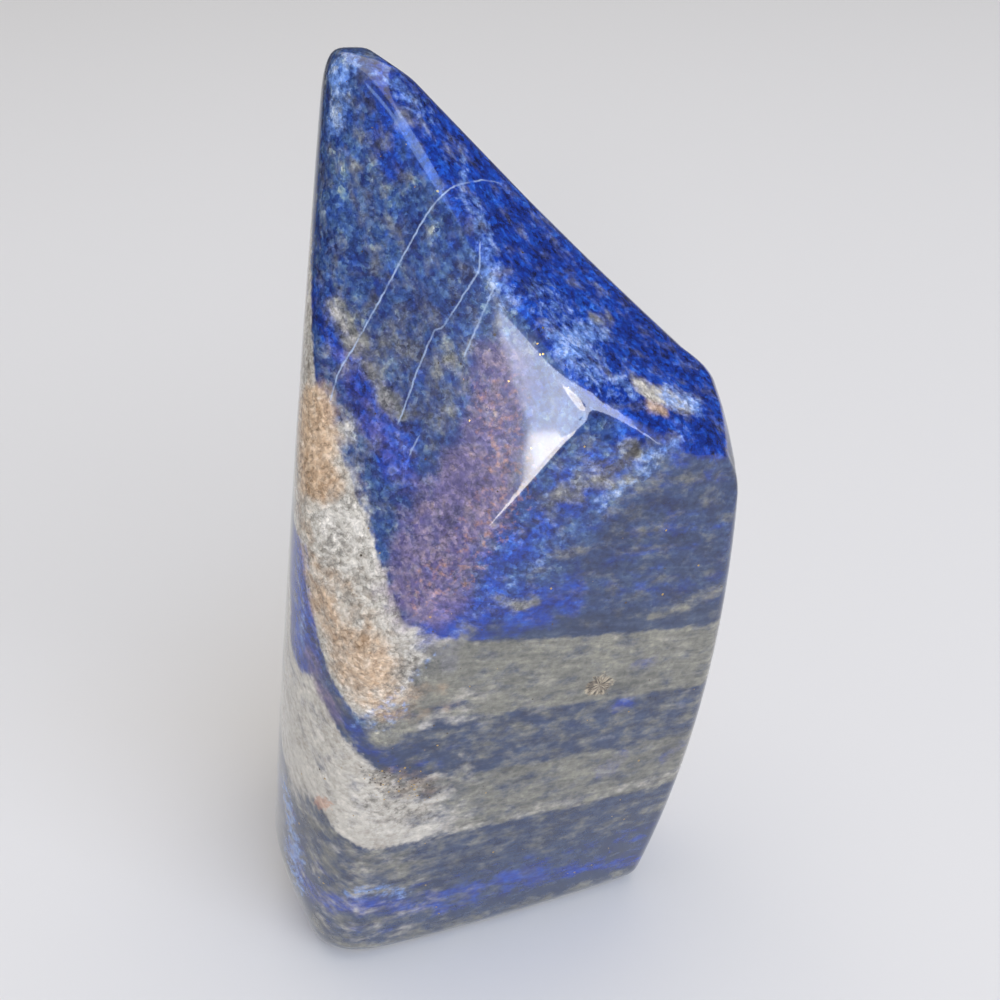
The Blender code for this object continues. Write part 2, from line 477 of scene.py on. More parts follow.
MARKS = (
    (Mineral.VIVID, (
        Mark("deep stripe",
             ((310, 290), (345, 350), (370, 400), (388, 446), (402, 478)), 2.3, 0.70),
        Mark("stripe core", ((368, 400), (384, 425), (396, 450)), 3.0, 0.45),
        Mark("patch under the tip", ((374, 98), (384, 126), (394, 156)), 2.8, 0.5),
        Mark("strip between the faces",
             ((690, 430), (640, 440), (560, 497), (500, 560), (440, 634)), 3.4, 0.46),
        Mark("banded face, upper left", ((440, 625), (500, 618), (560, 600)), 3.6, 0.6),
        Mark("left streak", ((299, 556), (300, 600), (302, 650)), 3.4, 1.35),
        Mark("thin bent band",
             ((335, 705), (350, 730), (375, 755), (405, 768), (440, 762)), 1.4, 0.24),
        Mark("round spot", ((448, 665),), 1.4, 1.0),
        Mark("foot, left", ((290, 850), (303, 885), (330, 903)), 2.2, 0.5),
        Mark("foot, middle", ((335, 903), (400, 908), (470, 890)), 2.0, 0.38),
        Mark("foot, right", ((500, 878), (560, 872), (640, 860)), 1.6, 0.45),
        Mark("lower blob", ((605, 772), (620, 757)), 1.6, 0.9),
        Mark("right dashes", ((665, 757), (683, 745)), 1.1, 0.9),
        Mark("band blotches", ((636, 666), (652, 662)), 1.2, 0.8),
        Mark("band blotches, low", ((620, 705), (628, 703)), 1.3, 0.6),
    )),
    (Mineral.MAUVE, (
        Mark("stripe, violet", ((345, 365), (380, 425), (400, 470)), 2.8, 0.24),
        # The mauve blotches on the front slope are partly the rock's own violet tint and partly a
        # painted reflection of something pink
        Mark("mauve, low", ((425, 590), (440, 540), (465, 500)), 5.5, 0.85, 0.5),
        Mark("mauve, high", ((480, 470), (495, 420), (500, 370)), 4.0, 0.75, 0.6),
        Mark("mauve streak", ((310, 655), (318, 680), (334, 712)), 1.5, 0.62),
    )),
    (Mineral.CALCITE, (
        Mark("left streak, cleared", ((299, 556), (300, 600), (303, 650)), 3.4, -1.4),
        Mark("thin bent band, cleared",
             ((337, 705), (352, 731), (377, 757), (410, 770), (445, 763)), 1.7, -0.9),
        Mark("shoulder cluster, white",
             ((640, 384), (650, 394), (668, 398), (686, 404)), 1.2, 1.1, 1.1),
        Mark("whitest calcite", ((325, 500), (340, 560)), 4.0, 0.4),
        Mark("calcite on the slope", ((310, 440), (321, 520), (338, 610), (372, 680)), 5.0, 0.8),
        Mark("olive streak, pale", ((336, 312), (350, 338)), 0.6, 0.5),
        Mark("olive under the edge, cleared", ((388, 728), (416, 702), (448, 668)), 3.2, -0.8),
        Mark("grey foot, left", ((282, 690), (287, 735), (300, 772)), 3.6, 1.0),
    )),
    (Mineral.BANDED, (
        Mark("thin bent band, grey",
             ((335, 705), (350, 730), (375, 755), (405, 768), (440, 762)), 1.6, 0.6),
    )),
    (Mineral.PALE, (
        # A painted highlight on the rounded lower-left corner of the foot
        Mark("foot, left, pale", ((288, 850), (300, 890)), 1.6, 0.4),
        # Painted highlights on the point: a whitish sheen over pale streaks down its left side, and
        # a sky-blue highlight at its top
        Mark("tip, pale left", ((335, 72), (340, 92), (334, 128)), 1.3, 0.5),
        Mark("tip, sky blue", ((352, 60), (338, 72)), 1.5, 0.6),
        Mark("ridge trail, high", ((464, 158), (464, 176), (460, 196)), 0.6, 0.45),
        Mark("ridge trail", ((474, 205), (486, 236), (488, 262), (506, 300)), 1.6, 0.42),
        # Painted sky reflection on the rounded ridge and on the right slope just under it
        Mark("slope, sky blue", ((548, 302), (570, 336), (590, 362)), 3.2, 0.32),
        Mark("slope patch", ((566, 348), (590, 330), (602, 334)), 1.6, 0.55),
        Mark("slope patch, low", ((566, 362), (590, 376), (612, 392)), 2.2, 0.15),
        Mark("shoulder cluster", ((668, 396), (694, 406)), 1.4, 0.8, 1.0),
        Mark("shoulder cluster, left", ((622, 380), (632, 392)), 1.0, 0.6),
        Mark("strip streaks", ((640, 462), (675, 442)), 0.8, 0.36),
        Mark("strip streaks, low", ((600, 500), (655, 468)), 0.7, 0.36),
        # A painted highlight along the rounded lower edge of the bevel
        Mark("lower line of the strip",
             ((690, 430), (560, 545), (455, 634), (400, 690), (350, 729)), 0.4, 0.2),
        Mark("patch under the edge", ((380, 722), (396, 708)), 1.7, 0.2),
        Mark("left streak, bright", ((302, 612), (303, 642)), 0.9, 0.30),
        Mark("bright foot patches", ((352, 894), (376, 890), (402, 893)), 1.3, 0.34),
        # Painted highlights on the rounded lower-left corner of the foot
        Mark("painted highlight, left foot", ((283, 780), (292, 830), (298, 860)), 1.6, 0.5),
        # Pale streaks on the right slope under the point, with a painted reflection over them
        Mark("tip, pale right", ((385, 72), (405, 92), (424, 112)), 1.8, 0.34),
    )),
    (Mineral.OLIVE, (
        Mark("strip, grey", ((560, 500), (600, 470), (650, 445)), 1.8, 0.40),
        Mark("olive streak", ((333, 307), (348, 336), (366, 360)), 1.3, 0.52),
        Mark("olive streak, low", ((373, 374), (398, 416)), 1.1, 0.50),
        Mark("slope mottles", ((360, 325), (400, 345), (440, 350), (430, 400)), 4.0, 0.24),
        Mark("olive under the edge", ((388, 728), (416, 702), (448, 668)), 3.0, 0.8),
        Mark("ridge spot", ((416, 143), (421, 148)), 0.8, 0.45),
        Mark("slope spots", ((594, 318), (608, 320)), 1.1, 0.55),
        Mark("pale rim", ((400, 690), (430, 655), (470, 640)), 1.6, 0.4),
        Mark("crescent", ((500, 598), (518, 606), (535, 602)), 0.8, 0.55),
        Mark("faint streak, high", ((600, 482), (700, 478)), 0.9, 0.34),
        Mark("faint streak, middle", ((560, 556), (640, 534)), 0.9, 0.36),
        Mark("faint streak, low", ((655, 615), (720, 592)), 1.1, 0.5),
    )),
    (Mineral.OCHRE, (
        Mark("orange patch", ((313, 405), (314, 440), (318, 480)), 3.0, 1.0),
        Mark("shoulder cluster, heart", ((651, 406), (662, 410)), 0.8, 1.1, 1.0),
        Mark("tan calcite", ((330, 600), (352, 640), (362, 676)), 4.8, 0.34),
        Mark("golden calcite", ((368, 645), (384, 668)), 2.2, 0.5),
        Mark("corner stain", ((392, 778), (424, 786)), 1.8, 0.34, 1.0),
    )),
    (Mineral.RUST, (
        Mark("red spot", ((318, 803), (327, 803)), 1.0, 1.0),
        Mark("rust flecks", ((430, 595), (475, 545), (505, 490), (500, 400)), 3.6, 0.20, 0.6),
    )),
    (Mineral.DARK, (
        # A painted dark reflection on the bevel
        Mark("painted dark reflection", ((604, 476), (620, 464), (636, 450)), 0.8, 0.8),
        Mark("grey specks", ((398, 685), (410, 664)), 1.8, 0.42, 0.6),
        Mark("white-calcite specks", ((336, 538), (345, 545)), 1.6, 0.34, 0.6),
        Mark("cluster specks", ((372, 805), (420, 815)), 2.4, 0.36, 0.7),
        Mark("corner ore, dark", ((378, 776), (400, 784), (424, 788)), 1.9, 0.60, 0.9),
    )),
    (Mineral.PYRITE, (
        Mark("corner ore cluster", ((385, 778), (405, 785), (425, 790)), 2.4, 0.30, 0.8),
        Mark("flecks under the ridge", ((538, 358), (552, 384)), 2.2, 0.06, 0.7),
    )),
)


@dataclass(frozen=True)
class Crack:
    """A healed crack, a thin white line on the skin, placed by the photograph's pixels."""

    path: tuple[Pixel, ...]
    half_width: float
    strength: float


CRACKS = (
    Crack(((499, 183), (484, 180), (470, 182), (451, 188), (430, 210), (409, 245), (387, 287),
           (362, 332), (351, 352), (340, 369), (331, 398)), 0.13, 0.75),
    Crack(((480, 244), (479, 269), (471, 283), (442, 328), (435, 330), (418, 369), (407, 400),
           (399, 421)), 0.13, 0.6),
    Crack(((493, 289), (480, 320), (464, 356)), 0.14, 0.6),
    Crack(((418, 438), (410, 453)), 0.14, 0.5),
)


@dataclass(frozen=True)
class Mineralogy:
    """Weighs the minerals at each point of the skin.

    view is the photograph's viewpoint, which places the marks, and blank the stone's shape.
    """

    view: Viewpoint
    blank: StoneBlank
    bedding: Bedding = field(default_factory=Bedding)
    beds: tuple[Bed, ...] = BEDS
    marks: tuple[tuple[Mineral, tuple[Mark, ...]], ...] = MARKS
    cracks: tuple[Crack, ...] = CRACKS
    divide: float = -6.0
    divide_width: float = 16.0
    mark_step: float = 10.0
    crack_step: float = 5.0
    crack_reach: float = 1.6
    crack_end: float = 0.8
    no_crack: float = 8.0
    slope_bed_depth: float = 0.9
    slope_bed_edge: float = 1.5
    slope_bed_strength: float = 1.4
    banding_start: float = 2.0
    banding_ease: float = 5.0
    banding_strength: float = 0.7
    most: float = 1.5
    spray_heart: Pixel = (600, 685)

    @staticmethod
    def smooth(value: np.ndarray) -> np.ndarray:
        """Ease shares from 0 to 1, and hold them there outside."""
        share = np.clip(value, 0, 1)
        return share * share * (3 - 2 * share)

    @staticmethod
    def to_path(points: np.ndarray, path: np.ndarray) -> tuple[np.ndarray, np.ndarray, np.ndarray]:
        """Measure points against a path.

        Args:
            points: Points in the stone's frame.
            path: Points along the path.

        Returns:
            Each point's distance to the path, the direction of the path beside it, and its
            offset from the path there.
        """
        starts = path if len(path) == 1 else path[:-1]
        ends = path if len(path) == 1 else path[1:]
        nearest = np.full(len(points), np.inf)
        course = np.zeros((len(points), 3))
        offset = np.zeros((len(points), 3))
        for start, end in zip(starts, ends):
            run = end - start
            length = max(float(run @ run), TINY)
            share = np.clip((points - start) @ run / length, 0, 1)
            away = points - start - share[:, None] * run
            distance = np.linalg.norm(away, axis=1)
            closer = distance < nearest
            nearest[closer] = distance[closer]
            course[closer] = run / math.sqrt(length)
            offset[closer] = away[closer]
        return nearest, course, offset

    @staticmethod
    def beside(points: np.ndarray, path: np.ndarray, reach: float) -> np.ndarray:
        """Return the numbers of the points in the path's box, widened by the reach."""
        inside = (points > path.min(axis=0) - reach) & (points < path.max(axis=0) + reach)
        return np.flatnonzero(inside.all(axis=1))

    def weigh_beds(self, points: np.ndarray, weights: dict[Mineral, np.ndarray]) -> None:
        """Add what the beds hold to the weights.

        Args:
            points: Points of the skin.
            weights: The weight of each mineral at the points.
        """
        level = self.bedding.coordinates(points)[:, 2]
        east = self.smooth((points[:, 0] - self.divide) / self.divide_width + 0.5)
        for bed in self.beds:
            inside = self.smooth((level - bed.low) / bed.edge + 0.5)
            inside *= self.smooth((bed.high - level) / bed.edge + 0.5)
            weights[bed.mineral] += inside * (bed.west * (1 - east) + bed.east * east)

    def weigh_marks(self, points: np.ndarray, weights: dict[Mineral, np.ndarray]) -> None:
        """Add the blotches and streaks to the weights.

        Args:
            points: Points of the skin.
            weights: The weight of each mineral at the points.
        """
        for mineral, marks in self.marks:
            for mark in marks:
                path = self.view.trace(mark.path, self.blank, self.mark_step)
                near = self.beside(points, path, mark.radius * (1 + mark.fade))
                distance = self.to_path(points[near], path)[0] / mark.radius
                share = self.smooth((1 + mark.fade - distance) / (2 * mark.fade))
                weights[mineral][near] += mark.strength * share
                LOG.debug("%s: %d points of the skin", mark.name, len(near))

    def trace_cracks(self, points: np.ndarray, normals: np.ndarray) -> np.ndarray:
        """Measure the points against the cracks.

        Args:
            points: Points of the skin.
            normals: The skin's normals there.

        Returns:
            For each point, the signed distance to the nearest crack as a share of its half
            width, how strongly the crack shows, and an unused zero.
        """
        result = np.zeros((len(points), 3))
        result[:, 0] = self.no_crack
        nearest = np.full(len(points), self.crack_reach)
        for crack in self.cracks:
            path = self.view.trace(crack.path, self.blank, self.crack_step)
            near = self.beside(points, path, self.crack_reach)
            distance, course, offset = self.to_path(points[near], path)
            side = np.sign((np.cross(offset, course) * normals[near]).sum(axis=1))
            closer = distance < nearest[near]
            chosen = near[closer]
            nearest[chosen] = distance[closer]
            result[chosen, 0] = (distance * side)[closer] / crack.half_width
            past_end = np.abs((offset * course).sum(axis=1))
            shown = crack.strength * self.smooth(1 - past_end / self.crack_end)
            shown *= self.smooth(2 - 2 * distance / self.crack_reach)
            result[chosen, 1] = shown[closer]
        return result

    def weigh(self, points: np.ndarray, normals: np.ndarray) -> dict[str, np.ndarray]:
        """Make every map that the finish reads.

        Args:
            points: Points of the skin.
            normals: The skin's normals there.

        Returns:
            Three numbers for each point, by the name of the map.
        """
        weights = {mineral: np.zeros(len(points)) for mineral in Mineral}
        self.weigh_beds(points, weights)
        self.weigh_marks(points, weights)
        from_heart = points - np.array(self.blank.heart)
        # A thin vivid bed lies right under the right slope, and the rock under the front slope
        # is massive, with the banding starting behind it
        over_slope = RIGHT_SLOPE.field(from_heart)[0]
        on_slope = self.smooth(self.slope_bed_edge + over_slope / self.slope_bed_depth)
        weights[Mineral.VIVID] += self.slope_bed_strength * on_slope
        under_front = -FRONT_SLOPE.field(from_heart)[0]
        weights[Mineral.BANDED] += self.banding_strength * self.smooth(
            (under_front - self.banding_start) / self.banding_ease)
        weights[Mineral.BANDED] *= 1 - on_slope
        maps = {"beds": self.bedding.coordinates(points)}
        for mineral, weight in weights.items():
            name, channel = mineral.value
            channels = maps.setdefault(name, np.zeros((len(points), 3)))
            channels[:, channel] = np.clip(weight, 0, self.most)
        maps["cracks"] = self.trace_cracks(points, normals)
        from_spray = points - self.view.trace((self.spray_heart,), self.blank, self.crack_step)
        facing = BANDED_FACE.facing()
        level = np.cross((0.0, 0.0, 1.0), facing)
        maps["spray"] = np.stack([from_spray @ level, from_spray @ np.cross(facing, level),
                                  from_spray @ facing], axis=1)
        return maps


@dataclass(frozen=True)
class Layer:
    """How one mineral looks: the colours of its grain, and how ragged its edges are."""

    mineral: Mineral
    grain: tuple[tuple[float, str], ...]
    fringe: float
    edge: float
    cover: float = 1.0


# Each mineral over the ones before it
LAYERS = (
    Layer(Mineral.BANDED, ((0.0, "#12192c"), (0.25, "#1e273d"), (0.5, "#2c374d"), (0.75, "#3e475b"),
                           (1.0, "#63686f")), 0.8, 0.50, 0.85),
    Layer(Mineral.VIVID, ((0.0, "#020726"), (0.22, "#06185a"), (0.5, "#0c318b"), (0.75, "#1a4cae"),
                          (0.92, "#336bc8"), (1.0, "#6595dc")), 2.2, 0.42),
    Layer(Mineral.OLIVE, ((0.0, "#3e3e3a"), (0.3, "#605f56"), (0.55, "#7e7b6d"), (0.8, "#9e9985"),
                          (1.0, "#c8c0a6")), 2.4, 0.48, 0.85),
    Layer(Mineral.CALCITE, ((0.0, "#6b645a"), (0.2, "#958d81"), (0.5, "#b5afa3"), (0.75, "#cbc4b8"),
                            (1.0, "#e8e2d7")), 2.2, 0.45),
    Layer(Mineral.OCHRE, ((0.0, "#82603f"), (0.3, "#a58564"), (0.6, "#bb9d7c"), (0.85, "#cdb396"),
                          (1.0, "#e2d1ba")), 1.6, 0.50, 0.85),
    # MAUVE also paints a reflection of something pink on the front slope
    Layer(Mineral.MAUVE, ((0.0, "#413a68"), (0.3, "#5e527a"), (0.55, "#766681"), (0.8, "#957c89"),
                          (1.0, "#cfa592")), 1.6, 0.50, 0.80),
    # PALE paints pale flecks and streaks, and also painted highlights and sky reflections
    Layer(Mineral.PALE, ((0.0, "#4a74cc"), (0.5, "#7fa3e0"), (1.0, "#dfe7f4")), 2.4, 0.50, 0.75),
    # DARK paints dark ore, and also a painted dark reflection
    Layer(Mineral.DARK, ((0.0, "#201f1f"), (1.0, "#544c42")), 2.4, 0.40, 0.75),
    Layer(Mineral.RUST, ((0.0, "#8a5544"), (1.0, "#d3a07c")), 2.8, 0.35, 0.60),
)


@dataclass(frozen=True)
class Grain:
    """Noise that stands for grains of a size, flattened into the beds.

    size is a grain's length along the beds in millimetres, flatness its thickness across them
    as a share of that, and detail says how many finer grains are mixed in. shift makes the
    noise unlike the others.
    """

    size: float
    flatness: float
    detail: float
    shift: Place = (0.0, 0.0, 0.0)


@dataclass(frozen=True)
class PolishedLapis:
    """Lapis lazuli, sawn, ground and polished with fine grit to a glassy skin.

    The grain gives the eye depth: dark and bright blue crystals mixed with grey and pale
    ones. The polish gives clear, narrow reflections over it. Crystals in this rock are 0.1 to
    0.5 mm wide, and the finest are drawn at about 0.4 mm, as coarse as they need to be to show.
    Each pair of shares holds for massive rock first and then for banded rock.
    """

    name: str = "lapis_lazuli_polished"
    haze: tuple[tuple[float, str], ...] = (
        (0.0, "#070e38"), (0.2, "#13245e"), (0.5, "#28437a"), (0.75, "#476289"), (0.92, "#6f8694"),
        (1.0, "#98a5a0"))
    crack_colour: str = "#a9bad6"
    pyrite_colour: str = "#c9a869"
    broken_colour: str = "#3f3329"
    crystal_size: float = 0.38
    crystal_shade: Shares = (0.42, 0.10)
    mosaic_size: float = 0.8
    mosaic_flatness: float = 0.6
    mosaic_jitter: float = 1.0
    mosaic_share: Shares = (0.22, 0.06)
    speck: Grain = Grain(0.65, 0.8, 3.0, (3.0, 8.0, 2.0))
    speck_shade: Shares = (1.60, 0.50)
    fleck: Grain = Grain(1.3, 0.50, 3.0)
    fleck_share: Shares = (0.50, 0.30)
    patch: Grain = Grain(4.5, 0.6, 3.0, (7.0, 3.0, 1.0))
    patch_share: Shares = (0.44, 0.28)
    cloud: Grain = Grain(14.0, 0.5, 2.0, (2.0, 9.0, 5.0))
    cloud_share: Shares = (0.26, 0.22)
    streak: Grain = Grain(7.0, 0.09, 4.0, (4.0, 6.0, 8.0))
    streak_share: Shares = (0.08, 0.42)
    tone_low: float = 0.22
    tone_high: float = 0.78
    squiggle: Grain = Grain(3.0, 0.7, 4.0, (9.0, 1.0, 4.0))
    squiggle_width: float = 0.03
    squiggle_shade: float = 0.62
    ripple: Grain = Grain(6.0, 0.8, 2.0)
    ripple_push: Place = (1.05, 1.05, 0.70)
    fringes: tuple[tuple[str, Grain], ...] = (
        ("rock", Grain(3.4, 0.42, 4.0, (0.0, 5.0, 0.0))),
        ("stain", Grain(2.4, 0.6, 4.0, (11.0, 5.0, 3.0))),
        ("flecks", Grain(1.1, 0.7, 4.0, (22.0, 5.0, 6.0))),
        ("ore", Grain(1.0, 0.9, 4.0, (33.0, 5.0, 9.0))),
        ("fabric", Grain(5.0, 0.3, 4.0, (44.0, 5.0, 12.0))))
    first_weight: float = 0.1
    crack_waver: float = 3.2
    crack_edge: float = 1.4
    crack_core: float = 0.2
    crack_gap: float = -0.16
    crack_whole: float = 0.06
    crack_least: float = 0.15
    spray: tuple[tuple[float, str], ...] = (
        (0.36, "#2f261f"), (0.46, "#6e5f4e"), (0.54, "#94866f"), (0.64, "#b9aa90"))
    spray_radius: float = 2.1
    spray_outer: float = 1.1
    spray_inner: float = 0.8
    spray_ragged: float = 1.6
    spray_cover: float = 0.78
    needles: float = 4.5
    needle_waver: float = 0.9
    ore_size: float = 0.36
    ore_chance: float = 0.003
    ore_share: float = 0.75
    ore_least: float = 0.15
    ore_most: float = 0.55
    ore_bare: float = 0.5
    roughness: float = 0.26
    scatter: float = 0.25
    ior: float = 1.5
    polish_weight: float = 1.0
    polish_roughness: float = 0.05

    @staticmethod
    def noise(tree: Tree, beds: Socket, grain: Grain) -> bpy.types.Node:
        """Add the noise of a grain.

        Args:
            tree: The material's tree.
            beds: Place in the beds, in millimetres.
            grain: Size and form of the grain.

        Returns:
            The noise node.
        """
        along = 1 / grain.size
        across = 1 / (grain.size * grain.flatness)
        scaled = add_node(tree, "ShaderNodeVectorMath", {
            0: beds, 1: (along, along, across), 2: grain.shift}, operation="MULTIPLY_ADD")
        return add_node(tree, "ShaderNodeTexNoise", {
            "Vector": scaled, "Scale": 1.0, "Detail": grain.detail, "Roughness": NOISE_ROUGHNESS})

    def rippled_beds(self, tree: Tree) -> Socket:
        """Make the beds slightly wavy.

        Args:
            tree: The material's tree.

        Returns:
            The place in the wavy beds, in millimetres.
        """
        beds = add_node(tree, "ShaderNodeAttribute", attribute_name="beds").outputs["Vector"]
        ripple = self.noise(tree, beds, self.ripple)
        centred = add_node(tree, "ShaderNodeVectorMath", {
            0: ripple.outputs["Color"], 1: (NOISE_MIDDLE,) * 3}, operation="SUBTRACT")
        return add_node(tree, "ShaderNodeVectorMath", {
            0: centred, 1: self.ripple_push, 2: beds}, operation="MULTIPLY_ADD").outputs[0]

    @staticmethod
    def cells(tree: Tree, place: Socket, size: float, flatness: float) -> Socket:
        """Give each crystal a random value.

        Args:
            tree: The material's tree.
            place: Place in the beds, in millimetres.
            size: Length of a crystal along the beds, in millimetres.
            flatness: Its thickness across them, as a share of its length.

        Returns:
            The value, from 0 to 1.
        """
        scaled = add_node(tree, "ShaderNodeVectorMath", {
            0: place, 1: (1 / size, 1 / size, 1 / (size * flatness))}, operation="MULTIPLY")
        cells = add_node(tree, "ShaderNodeTexVoronoi", {"Vector": scaled, "Scale": 1.0})
        return add_node(tree, "ShaderNodeSeparateColor", {0: cells.outputs["Color"]}).outputs[0]

    @staticmethod
    def blend(tree: Tree, start: float, shares: Iterable[tuple], banded: Socket) -> Socket:
        """Add up noises, each with its share in massive rock and its share in banded rock.

        Args:
            tree: The material's tree.
            start: The sum where every noise is at its middle.
            shares: For each noise, its output and its two shares.
            banded: How banded the rock is.

        Returns:
            The sum.
        """
        total = start
        for source, (massive, lined) in shares:
            share = add_node(tree, "ShaderNodeMix", {
                "Factor_Float": banded, "A_Float": massive, "B_Float": lined})
            centred = add_node(tree, "ShaderNodeMath", {
                0: source, 1: NOISE_MIDDLE}, operation="SUBTRACT")
            total = add_node(tree, "ShaderNodeMath", {
                0: centred, 1: share, 2: total}, operation="MULTIPLY_ADD").outputs[0]
        return total

    def grain(self, tree: Tree, beds: Socket, banded: Socket) -> tuple[Socket, Socket]:
        """Mix the grain: short flecks in massive rock, long streaks in banded rock.

        Args:
            tree: The material's tree.
            beds: Place in the beds, in millimetres.
            banded: How banded the rock is.

        Returns:
            The tone, from 0, darkest, to 1, palest, and the brightness of the finest specks.
        """
        speck = self.noise(tree, beds, self.speck)
        jittered = add_node(tree, "ShaderNodeVectorMath", {
            0: speck.outputs["Color"], 1: (self.mosaic_jitter,) * 3, 2: beds},
            operation="MULTIPLY_ADD").outputs[0]
        mosaic = self.cells(tree, jittered, self.mosaic_size, self.mosaic_flatness)
        crystal = self.cells(tree, jittered, self.crystal_size, 1.0)
        shares = [(mosaic, self.mosaic_share)]
        for grain, share in ((self.fleck, self.fleck_share), (self.patch, self.patch_share),
                             (self.cloud, self.cloud_share), (self.streak, self.streak_share)):
            shares.append((self.noise(tree, beds, grain).outputs[0], share))
        tone = add_node(tree, "ShaderNodeMapRange", {
            "Value": self.blend(tree, 0.5, shares, banded), "From Min": self.tone_low,
            "From Max": self.tone_high}).outputs[0]
        shade = self.blend(tree, 1.0, (
            (speck.outputs[0], self.speck_shade), (crystal, self.crystal_shade)), banded)
        squiggle = self.noise(tree, beds, self.squiggle)
        off_line = add_node(tree, "ShaderNodeMath", {
            0: squiggle, 1: NOISE_MIDDLE}, operation="SUBTRACT")
        off_line = add_node(tree, "ShaderNodeMath", {0: off_line}, operation="ABSOLUTE")
        line = add_node(tree, "ShaderNodeMapRange", {
            "Value": off_line, "From Max": self.squiggle_width, "To Min": self.squiggle_shade})
        line = add_node(tree, "ShaderNodeMix", {
            "Factor_Float": banded, "A_Float": line, "B_Float": 1.0})
        shade = add_node(tree, "ShaderNodeMath", {
            0: shade, 1: line}, operation="MULTIPLY").outputs[0]
        return tone, shade

    def read_maps(self, tree: Tree) -> Sockets:
        """Read the maps that the skin carries.

        Args:
            tree: The material's tree.

        Returns:
            The weight or measure in each channel of each map.
        """
        weights = {}
        for name in [name for name, grain in self.fringes] + ["cracks", "spray"]:
            source = add_node(tree, "ShaderNodeAttribute", attribute_name=name)
            split = add_node(tree, "ShaderNodeSeparateXYZ", {0: source.outputs["Vector"]})
            for channel in range(3):
                weights[name, channel] = split.outputs[channel]
        return weights

    def fray(self, tree: Tree, beds: Socket) -> Sockets:
        """Make the noises that fray the minerals' edges.

        Args:
            tree: The material's tree.
            beds: Place in the beds, in millimetres.

        Returns:
            Noises about zero, one for each channel of the minerals' maps.
        """
        fringes = {}
        for name, grain in self.fringes:
            rough = self.noise(tree, beds, grain)
            split = add_node(tree, "ShaderNodeSeparateColor", {0: rough.outputs["Color"]})
            for channel in range(3):
                fringes[name, channel] = add_node(tree, "ShaderNodeMath", {
                    0: split.outputs[channel], 1: NOISE_MIDDLE}, operation="SUBTRACT").outputs[0]
        return fringes

    def lay_minerals(self, tree: Tree, tone: Socket, weights: Sockets,
                     fringes: Sockets) -> Socket:
        """Lay each mineral over the ones before it.

        Args:
            tree: The material's tree.
            tone: The tone of the grain, from 0, darkest, to 1, palest.
            weights: The weight of each mineral.
            fringes: Noises about zero, one for each channel of the maps.

        Returns:
            The rock's colour.
        """
        colour = add_node(tree, "ShaderNodeValToRGB", {"Fac": tone}, ramp=self.haze).outputs[0]
        for layer in LAYERS:
            weight = weights[layer.mineral.value]
            paint = add_node(tree, "ShaderNodeValToRGB", {"Fac": tone}, ramp=layer.grain)
            ragged = add_node(tree, "ShaderNodeMapRange", {
                "Value": weight, "From Max": self.first_weight, "To Max": layer.fringe})
            spread = add_node(tree, "ShaderNodeMath", {
                0: fringes[layer.mineral.value], 1: ragged, 2: weight}, operation="MULTIPLY_ADD")
            share = add_node(tree, "ShaderNodeMapRange", {
                "Value": spread, "From Min": 0.5 - layer.edge, "From Max": 0.5 + layer.edge,
                "To Max": layer.cover}, interpolation_type="SMOOTHSTEP")
            colour = add_node(tree, "ShaderNodeMix", {
                "Factor_Float": share, "A_Color": colour, "B_Color": paint},
                data_type="RGBA").outputs["Result"]
        return colour

    def draw_cracks(self, tree: Tree, colour: Socket, weights: Sockets,
                    fringes: Sockets) -> Socket:
        """Draw the healed cracks, wavering and broken here and there.

        Args:
            tree: The material's tree.
            colour: The rock's colour.
            weights: The weight of each mineral, and the measures to the cracks.
            fringes: Noises about zero, one for each channel of the maps.

        Returns:
            The colour with the cracks.
        """
        waver = add_node(tree, "ShaderNodeMath", {
            0: fringes["ore", 0], 1: self.crack_waver, 2: weights["cracks", 0]},
            operation="MULTIPLY_ADD")
        distance = add_node(tree, "ShaderNodeMath", {0: waver}, operation="ABSOLUTE")
        line = add_node(tree, "ShaderNodeMapRange", {
            "Value": distance, "From Min": self.crack_edge,
            "From Max": self.crack_core}, interpolation_type="SMOOTHSTEP")
        broken = add_node(tree, "ShaderNodeMapRange", {
            "Value": fringes["stain", 2], "From Min": self.crack_gap,
            "From Max": self.crack_whole, "To Min": self.crack_least})
        shown = add_node(tree, "ShaderNodeMath", {
            0: broken, 1: weights["cracks", 1]}, operation="MULTIPLY")
        share = add_node(tree, "ShaderNodeMath", {0: line, 1: shown}, operation="MULTIPLY")
        return add_node(tree, "ShaderNodeMix", {
            "Factor_Float": share, "A_Color": colour,
            "B_Color": linear(self.crack_colour)}, data_type="RGBA").outputs["Result"]

